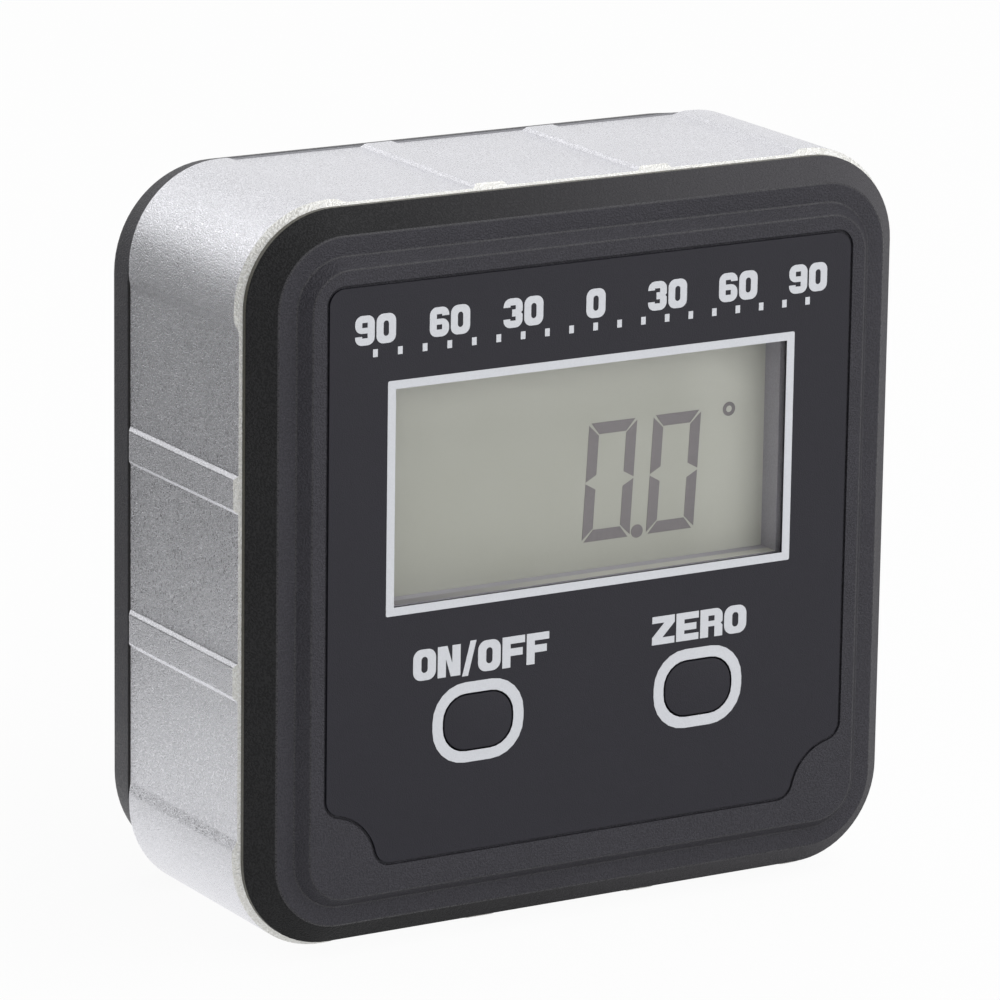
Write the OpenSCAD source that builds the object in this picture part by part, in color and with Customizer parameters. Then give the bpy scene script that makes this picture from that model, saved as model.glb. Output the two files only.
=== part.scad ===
// Digital angle gauge: a square aluminium frame with a stepped black bezel in front,
// a black cover behind, a display with two keys, and a battery bay with a sliding door.
// Every piece is drawn in face view: x to the right, y up from the middle of the body and
// z towards the viewer from the frame's front end. face_view() then stands it upright.

/* [Frame] */
// Width and height of the square frame
body_w = 60; // [59:0.5:80]
// Length of the frame from front to back
frame_d = 18.6; // [17:0.1:30]
// Outer corner radius of the frame
corner_r = 8; // [7.5:0.25:9.5]
// Wall of the frame at its ridges
frame_wall = 2.4; // [2.3:0.05:2.8]
// Depth of the three flats sunk into each side
flat_drop = 0.3; // [0.1:0.05:0.5]
// Width of the two ridges left between the flats
ridge_w = 2.3; // [1.5:0.1:4]
// Width of the rounded ramp on each side of a ridge
ridge_ramp = 0.45; // [0.3:0.05:0.9]
// Width of the softer ramp up to a corner
corner_ramp = 1.2; // [0.5:0.1:1.8]
// Straight land between a corner's arc and the ramp
corner_land = 0.6; // [0.2:0.1:1.5]
// Bevel left at the ends of the flats
end_bevel = 0.3; // [0.1:0.05:0.4]

/* [Bezel] */
// How far the bezel's side lies inside the frame's ridges
bezel_inset = 0.45; // [0.3:0.05:1]
// Height of the upright lip in front of the frame
lip_h = 0.5; // [0.3:0.05:1]
// Width of the outer slope
outer_slope_w = 1.9; // [1:0.05:2.4]
// Height of the outer slope
outer_slope_h = 1.85; // [1.2:0.05:2.5]
// Width of the ledge between the two slopes
ledge_w = 1.55; // [0.8:0.05:2]
// Width of the inner slope
inner_slope_w = 0.85; // [0.3:0.05:1.2]
// Height of the inner slope
inner_slope_h = 1.05; // [0.5:0.05:1.6]
// Rounding of the edges between lip, slopes and ledge
step_round = 0.3; // [0.1:0.05:0.4]
// Thickness of the front plate
face_t = 2.4; // [2:0.1:2.8]
// Thickness of the skirts that locate in the frame
skirt_t = 1.2; // [0.8:0.1:1.4]
// Reach of the bezel's skirt into the frame
bezel_skirt = 3; // [1.5:0.25:3.5]
// Clearance between the skirts and the frame
skirt_gap = 0.1; // [0.05:0.05:0.2]

/* [Face film] */
// Distance of the film's sides from the sides of the frame
film_side_margin = 6.2; // [5.8:0.1:8]
// Distance of the film's top edge from the top of the frame
film_top_margin = 6.2; // [5.8:0.1:7.5]
// Distance of the film's bottom edge from the base of the frame
film_base_margin = 7.25; // [6:0.05:9]
// Thickness of the film
film_t = 0.25; // [0.15:0.05:0.5]
// Gap round the film in its seat
film_gap = 0.26; // [0.05:0.01:0.3]
// Radius of the film's top corners
film_corner_r = 1.3; // [0.5:0.1:3]
// Radius of the scoop out of each bottom corner
scoop_r = 4.6; // [3:0.1:6]
// Rounding where a scoop meets the film's edges
scoop_round = 1.3; // [0.5:0.1:2]

/* [Display] */
// Distance of the window's sides from the sides of the film
window_margin = 5.85; // [5.65:0.05:9]
// Height of the window
window_h = 17.5; // [14:0.1:18]
// Centre of the window above the middle of the body
window_y = 6.7; // [5.5:0.1:7.5]
// Thickness of the clear window
pane_t = 1; // [0.6:0.1:1.2]
// How far the clear window reaches under the film
pane_lap = 1.6; // [0.8:0.1:2]
// Gap round the clear window in its pocket
pane_gap = 0.1; // [0.05:0.05:0.2]
// How far the aperture stands back from the window's edge
aperture_gap = 0.2; // [0.1:0.05:0.5]
// Distance of the display glass behind the film's face
display_depth = 3.4; // [3:0.1:4]
// Thickness of each of the two display glasses
glass_t = 1; // [0.7:0.1:1.2]
// How far the display glass reaches past the window
glass_lap = 2.1; // [1.5:0.1:2.3]
// Width of the glass ledge that carries the contacts
glass_ledge = 2.4; // [1.8:0.1:3]
// Width of the rubber contact strip on that ledge
strip_w = 1.9; // [1.2:0.1:2.2]
// Thickness of the foam between display and board
foam_t = 2; // [1:0.1:3]
// Wall of the holder round the display
holder_wall = 1; // [0.6:0.1:1.1]
// Gap between the display glass and its holder
holder_gap = 0.15; // [0.05:0.05:0.2]

/* [Keys] */
// Distance of each key from the body's middle line
key_x = 10.2; // [8:0.1:14]
// Distance of the keys below the middle of the body
key_y = 12.25; // [11.5:0.05:14]
// Width of a key cap
key_w = 6.15; // [5:0.05:7]
// Height of a key cap
key_h = 4.45; // [4:0.05:5]
// Corner radius of a key cap
key_r = 2; // [1:0.1:2.1]
// Gap round a key cap
key_gap = 0.15; // [0.1:0.05:0.3]
// How far the crown of a key stands in front of the film
key_proud = 0.15; // [0:0.05:0.5]
// Radius of the crown of a key
key_crown_r = 40; // [25:1:80]
// Overhang of the flange that keeps a key in
key_flange = 1.1; // [0.8:0.1:1.3]
// Thickness of that flange
key_flange_t = 0.8; // [0.5:0.1:1]
// Travel of a key
key_travel = 0.25; // [0.15:0.05:0.4]
// Width of a switch under a key
switch_w = 6; // [4.5:0.5:7]
// Height of a switch's body
switch_h = 2.6; // [2:0.1:2.8]
// Diameter of a switch's plunger
plunger_d = 3.2; // [2.5:0.1:3.6]
// How far a plunger stands out of its switch
plunger_rise = 0.9; // [0.6:0.1:1]

/* [Board] */
// Thickness of the circuit board
board_t = 1.2; // [0.8:0.1:1.6]
// Gap between the board and the skirt line
board_gap = 0.4; // [0.2:0.1:0.8]
// Diameter of the bosses that carry the board
boss_d = 3.8; // [3.4:0.1:4.2]
// Diameter of the board screws
board_screw_d = 1.6; // [1.4:0.1:1.8]
// Diameter of the board screws' heads
board_head_d = 3; // [2.6:0.1:3.2]
// Height of the board screws' heads
board_head_h = 1; // [0.6:0.1:1.2]
// Width of the processor
processor_w = 7; // [5:0.5:9]
// Width of the tilt sensor
sensor_w = 5; // [3:0.5:6]
// Thickness of both chips
chip_t = 1; // [0.7:0.1:1.4]
// Diameter of the timing crystal
crystal_d = 1.9; // [1.5:0.1:2]
// Length of the timing crystal
crystal_len = 6; // [5:0.5:8]

/* [Battery bay] */
// Diameter of a battery cell
cell_d = 10.5; // [9.5:0.1:10.7]
// Length of a battery cell with its nub
cell_len = 44.5; // [42:0.1:44.6]
// Diameter of the nub
nub_d = 3.8; // [3:0.1:4.5]
// Length of the nub
nub_len = 1; // [0.8:0.1:1.4]
// Gap round the cells
cell_gap = 0.3; // [0.2:0.05:0.4]
// Thickness of the contact plates
contact_t = 0.4; // [0.3:0.05:0.5]
// Width of a single contact plate
contact_w = 8.6; // [7:0.1:9]
// Depth of the dimple that meets a nub
dimple_h = 0.3; // [0.2:0.05:0.5]
// Width of the tail that runs to the board
tail_w = 2.4; // [1.6:0.1:3]
// Space taken by a pressed coil spring
spring_len = 3.6; // [3:0.1:4]
// Wire of the coil springs
spring_wire = 0.6; // [0.4:0.05:0.7]
// Thickness of the bay's floor
bay_floor_t = 1.2; // [0.8:0.1:1.5]
// Width of the rails along the bay
rail_w = 2.4; // [2:0.1:3]

/* [Back cover] */
// Depth of the cover behind the frame
cover_d = 4.6; // [4.4:0.1:6]
// How far the cover's front edge lies inside the frame's ridges
cover_inset = 0.2; // [0:0.05:0.5]
// How much rounder the cover's corners are than the frame's
cover_ease = 1.4; // [0:0.1:2]
// How far the cover's side leans in towards the back
cover_taper = 0.7; // [0.3:0.05:1]
// Rounding of the cover's rear edge
cover_edge_r = 1.2; // [0.8:0.1:1.6]
// Thickness of the cover's back plate
cover_plate = 2; // [1.9:0.05:2.4]
// Reach of the cover's skirt into the frame
cover_skirt = 2.5; // [1.5:0.25:4]
// Thickness of the battery door
door_t = 1.6; // [1.5:0.05:1.7]
// Overlap of the door past each side of the bay
door_lap = 0.7; // [0.4:0.1:0.9]
// Reach of the tongues along the door's edges
tongue_w = 1.1; // [0.6:0.1:1.2]
// Thickness of those tongues
tongue_t = 0.8; // [0.6:0.05:0.85]
// Running clearance of the door
door_gap = 0.1; // [0.05:0.05:0.15]
// Number of finger grooves in the door
grip_count = 5; // [3:1:7]
// Distance between the finger grooves
grip_pitch = 1.8; // [1.5:0.1:2.5]
// Width of a finger groove
grip_w = 0.9; // [0.5:0.1:1.2]
// Length of the finger grooves
grip_len = 13; // [8:0.5:16]
// Depth of the finger grooves
grip_drop = 0.4; // [0.2:0.05:0.6]

/* [Cover screws] */
// Diameter of the posts that the cover is screwed to
post_d = 5.6; // [5:0.1:6]
// Diameter of the cover screws
screw_d = 2; // [1.6:0.1:2.2]
// Length of the cover screws under the head
screw_len = 9; // [7:0.5:12]
// Diameter of the cover screws' heads
head_d = 3.9; // [3.4:0.1:4.2]
// Height of the cover screws' heads
head_h = 1.4; // [1:0.1:1.6]
// How far the heads are sunk below the cover's face
head_sunk = 0.4; // [0.2:0.1:0.5]
// Clearance round screws and their heads
screw_gap = 0.1; // [0.05:0.05:0.2]

/* [Base magnets] */
// Diameter of a magnet
magnet_d = 8; // [5:0.5:10]
// Thickness of a magnet
magnet_t = 1.5; // [1:0.1:1.6]
// Clearance round a magnet
magnet_gap = 0.1; // [0.05:0.05:0.2]

/* [Hidden] */
$fn = 64;
// Overrun of every cut past the face that it leaves through
over = 1;

half = body_w / 2;
// Distance of the corners' centres from the middle of the body
corner_c = half - corner_r;
flat_w = (2 * (corner_c - corner_land) - 2 * ridge_w) / 3;
flat_pitch = flat_w + ridge_w;

// Depths from the frame's front end, towards the viewer
bezel_h = lip_h + outer_slope_h + inner_slope_h;
ledge_z = lip_h + outer_slope_h;
face_back = bezel_h - face_t;
film_seat = bezel_h - film_t;
pane_seat = film_seat - pane_t;
face_mid = (face_back + pane_seat) / 2;
glass_z = bezel_h - display_depth;
glass_back = glass_z - 2 * glass_t;
board_front = glass_back - foam_t;
board_back = board_front - board_t;
frame_back = -frame_d;
cover_back = frame_back - cover_d;
plate_inner = cover_back + cover_plate;
plate_mid = cover_back + cover_plate / 2;
door_inner = cover_back + door_t;
door_seat = door_inner + door_gap;
cell_z = door_inner + cell_gap + cell_d / 2;
bay_floor = cell_z + cell_d / 2 + cell_gap;
bay_front = bay_floor + bay_floor_t;

// Film and window, from the sides of the frame
film_w = body_w - 2 * film_side_margin;
film_top = half - film_top_margin;
film_bottom = half - film_base_margin;
window_w = film_w - 2 * window_margin;

// Distances out from the corners' centres
bezel_r = corner_r - bezel_inset;
cover_c = corner_c - cover_ease;
cover_r = corner_r + cover_ease - cover_inset;
skirt_out = corner_r - frame_wall - skirt_gap;
skirt_in = skirt_out - skirt_t;
skirt_half = corner_c + skirt_in;

// The whole body stands on the ground, with its depth centred
depth = key_proud + bezel_h + frame_d + cover_d;
frame_front_y = key_proud + bezel_h - depth / 2;

// Distance from a scooped corner to the end of its lip
lip_reach = sqrt(scoop_r * (scoop_r + 2 * scoop_round));
// Straight steps along each arc of the film's outline, a rounded edge and a ramp
arc_steps = 12;
round_steps = 4;
ramp_steps = 6;

// Posts with the cover screws, and bosses with the board screws
post_room = 0.3;
post_c = corner_c + (skirt_in - post_d / 2 - post_room) / sqrt(2);
post_gap = 0.1;
cover_boss_h = 0.8;
cover_boss_end = frame_back + cover_boss_h;
post_end = cover_boss_end + post_gap;
head_seat = cover_back + head_sunk + head_h;
pilot_room = 0.4;
boss_c = skirt_half - boss_d / 2 - board_gap;
board_half = skirt_half - board_gap;
board_screw_bite = 3;
board_screw_len = board_t + board_screw_bite;
notch_room = 0.5;
board_notch = board_half - post_c + post_d / 2 + notch_room;
cross_w = 0.5;
cross_reach = 0.6;

// The display glass behind the window
glass_w = window_w + 2 * glass_lap;
glass_bottom = window_y - window_h / 2 - glass_lap;
glass_top = window_y + window_h / 2 + glass_lap;

// Key depths, from the crown down to the switch
key_top = bezel_h + key_proud;
key_rest_gap = 0.1;
key_flange_front = face_back - key_rest_gap;
key_flange_back = key_flange_front - key_flange_t;
plunger_top = board_front + switch_h + plunger_rise;
plunger_gap = 0.15;
plunger_sunk = 0.5;
plunger_end = plunger_top - plunger_rise - plunger_sunk;
well_room = 0.2;
plunger_well = plunger_sunk + key_travel + well_room;
leg_w = 0.8;
leg_reach = 1;
leg_t = 0.2;

// Battery bay with its door, contacts and springs
bay_len = 2 * contact_t + dimple_h + cell_len + spring_len;
bay_w = 2 * cell_d + 3 * cell_gap;
cell_y = (cell_d + cell_gap) / 2;
cell_edge = 0.6;
contact_margin = 0.5;
contact_h = cell_d - 2 * contact_margin;
dimple_d = 3;
door_w = bay_w + 2 * door_lap;
door_left = -bay_len / 2 - door_lap;
groove_w = door_w + 2 * tongue_w;
grip_x = corner_c - grip_count * grip_pitch;
spring_turns = 3;
spring_rings = 16;
spring_sides = 8;
spring_base_r = 3.4;
spring_tip_r = 1.9;
spring_room = 0.03;

aluminium = [0.78, 0.78, 0.80];
black_plastic = [0.13, 0.13, 0.14];
film_black = [0.10, 0.10, 0.11];
board_green = [0.10, 0.32, 0.18];
nickel = [0.75, 0.74, 0.70];

// Stands a piece that is drawn in face view upright on the ground
module face_view() {
    translate([0, frame_front_y, half])
        rotate([90, 0, 0])
            children();
}

// Extrudes a face-view outline between two depths
module slab(z0, z1) {
    translate([0, 0, z0])
        linear_extrude(z1 - z0)
            children();
}

module rounded_rect(w, h, r) {
    square([w - 2 * r, h], center = true);
    square([w, h - 2 * r], center = true);
    for (sx = [-1, 1], sy = [-1, 1])
        translate([sx * (w / 2 - r), sy * (h / 2 - r)])
            circle(r);
}

// Sweeps a section round the body: its x runs outwards from the corners' centres
module rim(c = corner_c) {
    for (turn = [0:90:270])
        rotate(turn)
            translate([c, c]) {
                rotate_extrude(angle = 90)
                    children();
                rotate([90, 0, 0])
                    linear_extrude(2 * c)
                        children();
            }
}

module core(z0, z1, c = corner_c) {
    slab(z0, z1)
        square(2 * c, center = true);
}

module at_posts() {
    for (sx = [-1, 1], sy = [-1, 1])
        translate([sx * post_c, sy * post_c])
            children();
}

module at_bosses() {
    for (turn = [0:90:270])
        rotate(turn)
            translate([boss_c, 0])
                children();
}

module at_key(side) {
    translate([side * key_x, -key_y])
        children();
}

module window_rect(grow) {
    translate([0, window_y])
        square([window_w + 2 * grow, window_h + 2 * grow], center = true);
}

// Frame: an extruded tube with three sunk flats on each side. A ramp falls in an even S curve.
function ramp(width) =
    [for (i = [0:ramp_steps])
        [width * i / ramp_steps, -flat_drop * (1 - cos(180 * i / ramp_steps)) / 2]];

module flat_cut(place) {
    left = ramp(place < 0 ? corner_ramp : ridge_ramp);
    right = ramp(place > 0 ? corner_ramp : ridge_ramp);
    edge = flat_w / 2;
    translate([place * flat_pitch, half])
        polygon(concat([[-edge, over]], [for (p = left) [p[0] - edge, p[1]]],
            [for (i = [ramp_steps:-1:0]) [edge - right[i][0], right[i][1]]], [[edge, over]]));
}

module frame_outline() {
    difference() {
        rounded_rect(body_w, body_w, corner_r);
        for (turn = [0:90:270], place = [-1, 0, 1])
            rotate(turn)
                flat_cut(place);
        rounded_rect(body_w - 2 * frame_wall, body_w - 2 * frame_wall, corner_r - frame_wall);
    }
}

// Section that bevels an end of the frame, at a slope of 45 degrees
module bevel_section() {
    start = corner_r - flat_drop - end_bevel;
    polygon([[start - over, over], [start + 2 * over, -2 * over], [start + 2 * over, over]]);
}

module at_magnet(place) {
    translate([place * flat_pitch, -half + flat_drop, -frame_d / 2])
        rotate([-90, 0, 0])
            children();
}

module frame() {
    color(aluminium) face_view() difference() {
        slab(frame_back, 0)
            frame_outline();
        rim()
            bevel_section();
        translate([0, 0, frame_back])
            mirror([0, 0, 1])
                rim()
                    bevel_section();
        for (place = [-1, 0, 1])
            at_magnet(place)
                translate([0, 0, -over])
                    cylinder(d = magnet_d + 2 * magnet_gap, h = magnet_t + over);
    }
}

// Points along an arc, from one direction to another
function arc(center, r, from, to) =
    [for (i = [0:arc_steps])
        let (a = from + (to - from) * i / arc_steps)
        center + r * [cos(a), sin(a)]];

// A corner of an outline, rounded: the points of the arc that takes its place
function rounded_corner(before, corner, after, r) =
    let (
        u = (before - corner) / norm(before - corner),
        v = (after - corner) / norm(after - corner),
        bend = acos(u * v) / 2,
        middle = corner + (u + v) / norm(u + v) * r / sin(bend),
        start = corner + u * r / tan(bend) - middle,
        end = corner + v * r / tan(bend) - middle,
        from = atan2(start[1], start[0]),
        turn = atan2(end[1], end[0]) - from,
        sweep = turn > 180 ? turn - 360 : turn < -180 ? turn + 360 : turn
    )
    [for (i = [0:round_steps])
        let (a = from + sweep * i / round_steps)
        middle + r * [cos(a), sin(a)]];

// Bezel: a stepped front with a skirt inside the frame
module bezel_section() {
    ledge_out = bezel_r - outer_slope_w;
    ledge_in = ledge_out - ledge_w;
    steps = [[bezel_r, 0], [bezel_r, lip_h], [ledge_out, ledge_z], [ledge_in, ledge_z],
        [ledge_in - inner_slope_w, bezel_h], [0, bezel_h]];
    edges = [for (i = [1:4]) each rounded_corner(steps[i - 1], steps[i], steps[i + 1], step_round)];
    skirt = [[0, face_back], [skirt_in, face_back], [skirt_in, -bezel_skirt], [skirt_out, -bezel_skirt],
        [skirt_out, 0]];
    polygon(concat(skirt, [steps[0]], edges, [steps[5]]));
}

// Right side of the film or of its seat, from the top down. A scoop is an arc about the film's
// bottom corner, and it runs into the edges through a rounded lip at each end.
function film_side(grow) =
    let (
        corner = [film_w / 2, -film_bottom],
        top_c = [film_w / 2 - film_corner_r, film_top - film_corner_r],
        side_lip = corner + [-scoop_round, lip_reach],
        base_lip = corner + [-lip_reach, scoop_round],
        lip_r = scoop_round + grow,
        lip_turn = atan2(lip_reach, scoop_round),
        scoop = arc(corner, scoop_r - grow, 180 - lip_turn, 90 + lip_turn)
    )
    concat(arc(top_c, film_corner_r + grow, 90, 0), arc(side_lip, lip_r, 0, -lip_turn),
        [for (i = [1:arc_steps - 1]) scoop[i]], arc(base_lip, lip_r, lip_turn - 90, -90));

module film_outline(grow) {
    right = film_side(grow);
    left = [for (i = [len(right) - 1:-1:0]) [-right[i][0], right[i][1]]];
    polygon(concat(right, left));
}

module key_outline(grow) {
    rounded_rect(key_w + 2 * grow, key_h + 2 * grow, key_r + grow);
}

module front_bezel() {
    color(black_plastic) face_view() difference() {
        union() {
            rim()
                bezel_section();
            core(face_back, bezel_h);
            at_posts()
                slab(post_end, face_mid)
                    circle(d = post_d);
            at_bosses()
                slab(board_front, face_mid)
                    circle(d = boss_d);
        }
        slab(film_seat, bezel_h + over)
            film_outline(film_gap);
        slab(pane_seat, bezel_h)
            window_rect(pane_lap + pane_gap);
        slab(face_back - over, bezel_h)
            window_rect(aperture_gap);
        for (side = [-1, 1])
            at_key(side)
                slab(face_back - over, bezel_h)
                    key_outline(key_gap);
        at_posts()
            slab(post_end - over, head_seat + screw_len + pilot_room)
                circle(d = screw_d + 2 * screw_gap);
        at_bosses()
            slab(board_front - over, board_front + board_screw_bite + pilot_room)
                circle(d = board_screw_d + 2 * screw_gap);
    }
}

module face_film() {
    color(film_black) face_view() slab(film_seat, bezel_h) difference() {
        film_outline(0);
        window_rect(0);
        for (side = [-1, 1])
            at_key(side)
                key_outline(key_gap);
    }
}

// Display stack: clear window, holder, glass, contact strip and foam
module display_window() {
    color([0.85, 0.88, 0.88, 0.4]) face_view() slab(pane_seat, film_seat)
        window_rect(pane_lap);
}

module display_holder() {
    color([0.20, 0.20, 0.21]) face_view() difference() {
        slab(board_front, face_back)
            window_rect(glass_lap + holder_gap + holder_wall);
        slab(board_front - over, glass_z)
            window_rect(glass_lap + holder_gap);
        slab(glass_z - over, face_back + over)
            window_rect(aperture_gap);
    }
}

// A strip across the display, between two heights and two depths
module display_strip(y0, y1, z0, z1) {
    slab(z0, z1)
        translate([-glass_w / 2, y0])
            square([glass_w, y1 - y0]);
}

module display_glass() {
    color([0.64, 0.64, 0.60]) face_view() {
        display_strip(glass_bottom, glass_top, glass_z - glass_t, glass_z);
        display_strip(glass_bottom + glass_ledge, glass_top, glass_back, glass_z - glass_t);
    }
}

module contact_strip() {
    color([0.75, 0.45, 0.55]) face_view()
        display_strip(glass_bottom, glass_bottom + strip_w, board_front, glass_z - glass_t);
}

module foam_strip() {
    color([0.25, 0.25, 0.25]) face_view()
        display_strip(glass_top - strip_w, glass_top, board_front, glass_back);
}

// Circuit board with its parts
module circuit_board() {
    color(board_green) face_view() slab(board_back, board_front) difference() {
        square(2 * board_half, center = true);
        for (sx = [-1, 1], sy = [-1, 1])
            translate([sx * board_half, sy * board_half])
                square(2 * board_notch, center = true);
        at_bosses()
            circle(d = board_screw_d + 2 * screw_gap);
    }
}

// Pan-headed screw with a cross recess and a pointed end, head down
module screw(d, len, head, height) {
    point = d / 2;
    difference() {
        translate([0, 0, -height])
            cylinder(d = head, h = height);
        for (turn = [0, 90])
            rotate(turn)
                translate([0, 0, -height])
                    cube([head * cross_reach, cross_w, height], center = true);
    }
    cylinder(d = d, h = len - point);
    translate([0, 0, len - point])
        cylinder(d1 = d, d2 = d / 4, h = point);
}

module board_screws() {
    color(nickel) face_view()
        at_bosses()
            translate([0, 0, board_back])
                screw(board_screw_d, board_screw_len, board_head_d, board_head_h);
}

module chip(w, x, y) {
    translate([x, y])
        slab(board_back - chip_t, board_back)
            square(w, center = true);
}

module processor() {
    color([0.12, 0.12, 0.13]) face_view()
        chip(processor_w, -processor_w, 0);
}

module tilt_sensor() {
    color([0.18, 0.18, 0.20]) face_view()
        chip(sensor_w, processor_w, 0);
}

module timing_crystal() {
    color(nickel) face_view()
        translate([0, -processor_w, board_back - crystal_d / 2])
            rotate([0, 90, 0])
                cylinder(d = crystal_d, h = crystal_len, center = true);
}

// Keys with their switches
module key(side) {
    face_view() at_key(side) {
        intersection() {
            slab(key_flange_back, key_top)
                key_outline(0);
            translate([0, 0, key_top - key_crown_r])
                sphere(key_crown_r, $fn = 200);
        }
        slab(key_flange_back, key_flange_front)
            key_outline(key_flange);
        slab(plunger_top, key_flange_back)
            circle(d = plunger_d);
    }
}

module plunger(side) {
    face_view() at_key(side)
        slab(plunger_end, plunger_top)
            circle(d = plunger_d);
}

module switch_body(side) {
    top = board_front + switch_h;
    face_view() at_key(side) {
        difference() {
            slab(board_front, top)
                square(switch_w, center = true);
            slab(top - plunger_well, top + over)
                circle(d = plunger_d + 2 * plunger_gap);
        }
        slab(board_front, board_front + leg_t)
            for (sx = [-1, 1], sy = [-1, 1])
                translate([sx * switch_w / 2, sy * switch_w / 3])
                    square([2 * leg_reach, leg_w], center = true);
    }
}

module on_off_key() { color(black_plastic) key(-1); }
module zero_key() { color(black_plastic) key(1); }
module on_off_plunger() { color([0.5, 0.1, 0.1]) plunger(-1); }
module zero_plunger() { color([0.5, 0.1, 0.1]) plunger(1); }
module on_off_switch() { color([0.2, 0.2, 0.2]) switch_body(-1); }
module zero_switch() { color([0.2, 0.2, 0.2]) switch_body(1); }

// Back cover: a tapered dish with a rounded rear edge, a skirt and the battery bay
module cover_section() {
    edge = [cover_r - cover_taper - cover_edge_r, cover_back + cover_edge_r];
    lead = [cover_r, frame_back] - edge;
    lean = atan2(lead[1], lead[0]) - acos(cover_edge_r / norm(lead));
    polygon([[0, cover_back], [edge[0], cover_back],
        edge + cover_edge_r * [cos(lean), sin(lean)], [cover_r, frame_back],
        [skirt_in + cover_ease, frame_back], [skirt_in + cover_ease, plate_inner], [0, plate_inner]]);
    translate(edge)
        circle(cover_edge_r);
}

module cover_shell() {
    rim(cover_c)
        cover_section();
    core(cover_back, plate_inner, cover_c);
    rim()
        translate([skirt_in, plate_mid])
            square([skirt_t, frame_back + cover_skirt - plate_mid]);
}

module door_span(w, z0, z1, gap) {
    slab(z0, z1)
        translate([door_left - gap, -w / 2 - gap])
            square([body_w, w + 2 * gap]);
}

module back_cover() {
    tail_slot = tail_w + 2 * screw_gap;
    color(black_plastic) face_view() difference() {
        union() {
            cover_shell();
            at_posts()
                slab(plate_mid, cover_boss_end)
                    circle(d = post_d);
            slab(plate_mid, bay_front)
                square([2 * skirt_half + skirt_t, bay_w + 2 * rail_w], center = true);
        }
        slab(cover_back - over, bay_floor)
            square([bay_len, bay_w], center = true);
        door_span(door_w, cover_back - over, door_seat, door_gap);
        door_span(groove_w, door_inner - tongue_t - door_gap, door_seat, door_gap);
        at_posts() {
            slab(cover_back - over, head_seat)
                circle(d = head_d + 2 * screw_gap);
            slab(cover_back, cover_boss_end + over)
                circle(d = screw_d + 2 * screw_gap);
        }
        for (side = [-1, 1])
            slab(bay_floor - over, bay_front + over)
                translate([bay_len / 2 - contact_t / 2 - screw_gap, side * cell_y])
                    square([contact_t + 2 * screw_gap, tail_slot], center = true);
    }
}

// Battery door: a plate with tongues that runs out to the right
module battery_door() {
    color(black_plastic) face_view() difference() {
        intersection() {
            cover_shell();
            union() {
                door_span(door_w, cover_back - over, door_inner, 0);
                door_span(groove_w, door_inner - tongue_t, door_inner, 0);
            }
        }
        for (i = [0:grip_count - 1])
            slab(cover_back - over, cover_back + grip_drop)
                translate([grip_x + i * grip_pitch, 0])
                    square([grip_w, grip_len], center = true);
    }
}

module cover_screws() {
    color(nickel) face_view()
        at_posts()
            translate([0, 0, head_seat])
                screw(screw_d, screw_len, head_d, head_h);
}

// Battery cells and their contacts
module cell(side) {
    can_r = cell_d / 2;
    face_view()
        translate([side * (bay_len / 2 - contact_t - dimple_h), side * cell_y, cell_z])
            rotate([0, -90 * side, 0])
                rotate_extrude()
                    polygon([[0, 0], [nub_d / 2, 0], [nub_d / 2, nub_len], [can_r - cell_edge, nub_len],
                        [can_r, nub_len + cell_edge], [can_r, cell_len - cell_edge],
                        [can_r - cell_edge, cell_len], [0, cell_len]]);
}

module upper_cell() { color([0.20, 0.35, 0.55]) cell(1); }
module lower_cell() { color([0.20, 0.35, 0.55]) cell(-1); }

// A contact plate on one end wall of the bay
module contact_plate(side, y0, y1) {
    slab(bay_floor - contact_h, bay_floor)
        translate([side * (bay_len - contact_t) / 2, (y0 + y1) / 2])
            square([contact_t, y1 - y0], center = true);
}

module dimple(side) {
    translate([side * (bay_len / 2 - contact_t), side * cell_y, cell_z])
        rotate([0, -90 * side, 0])
            cylinder(d = dimple_d, h = dimple_h);
}

module tail(y) {
    translate([bay_len / 2, y]) {
        slab(bay_floor, board_back)
            translate([-contact_t, -tail_w / 2])
                square([contact_t, tail_w]);
        slab(board_back - contact_t, board_back)
            translate([-tail_w, -tail_w / 2])
                square(tail_w);
    }
}

module link_contact() {
    color(nickel) face_view() {
        contact_plate(-1, -cell_y - contact_w / 2, cell_y + contact_w / 2);
        dimple(-1);
    }
}

module positive_contact() {
    color(nickel) face_view() {
        contact_plate(1, cell_y - contact_w / 2, cell_y + contact_w / 2);
        dimple(1);
        tail(cell_y);
    }
}

module negative_contact() {
    color(nickel) face_view() {
        contact_plate(1, -cell_y - contact_w / 2, -cell_y + contact_w / 2);
        tail(-cell_y);
    }
}

// Conical coil spring: rings of points along a helix, skinned with quads
function coil_ring(u) =
    let (
        turn = 360 * spring_turns * u,
        r = spring_base_r + (spring_tip_r - spring_base_r) * u,
        rise = spring_wire / 2 + spring_room + (spring_len - spring_wire - 2 * spring_room) * u
    )
    [for (k = [0:spring_sides - 1])
        let (
            a = 360 * k / spring_sides,
            out = r + spring_wire / 2 * cos(a)
        )
        [out * cos(turn), out * sin(turn), rise + spring_wire / 2 * sin(a)]];

module coil() {
    rings = spring_turns * spring_rings;
    n = spring_sides;
    points = [for (i = [0:rings]) each coil_ring(i / rings)];
    skin = [for (i = [0:rings - 1], k = [0:n - 1])
        [i * n + k, i * n + (k + 1) % n, (i + 1) * n + (k + 1) % n, (i + 1) * n + k]];
    start = [for (k = [n - 1:-1:0]) k];
    end = [for (k = [0:n - 1]) rings * n + k];
    polyhedron(points, concat([start], skin, [end]));
}

module spring(side) {
    face_view()
        translate([-side * (bay_len / 2 - contact_t), side * cell_y, cell_z])
            rotate([0, 90 * side, 0])
                coil();
}

module upper_spring() { color(nickel) spring(1); }
module lower_spring() { color(nickel) spring(-1); }

// Magnets let into the flats of the base
module magnet(place) {
    color(nickel) face_view()
        at_magnet(place)
            cylinder(d = magnet_d, h = magnet_t);
}

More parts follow.
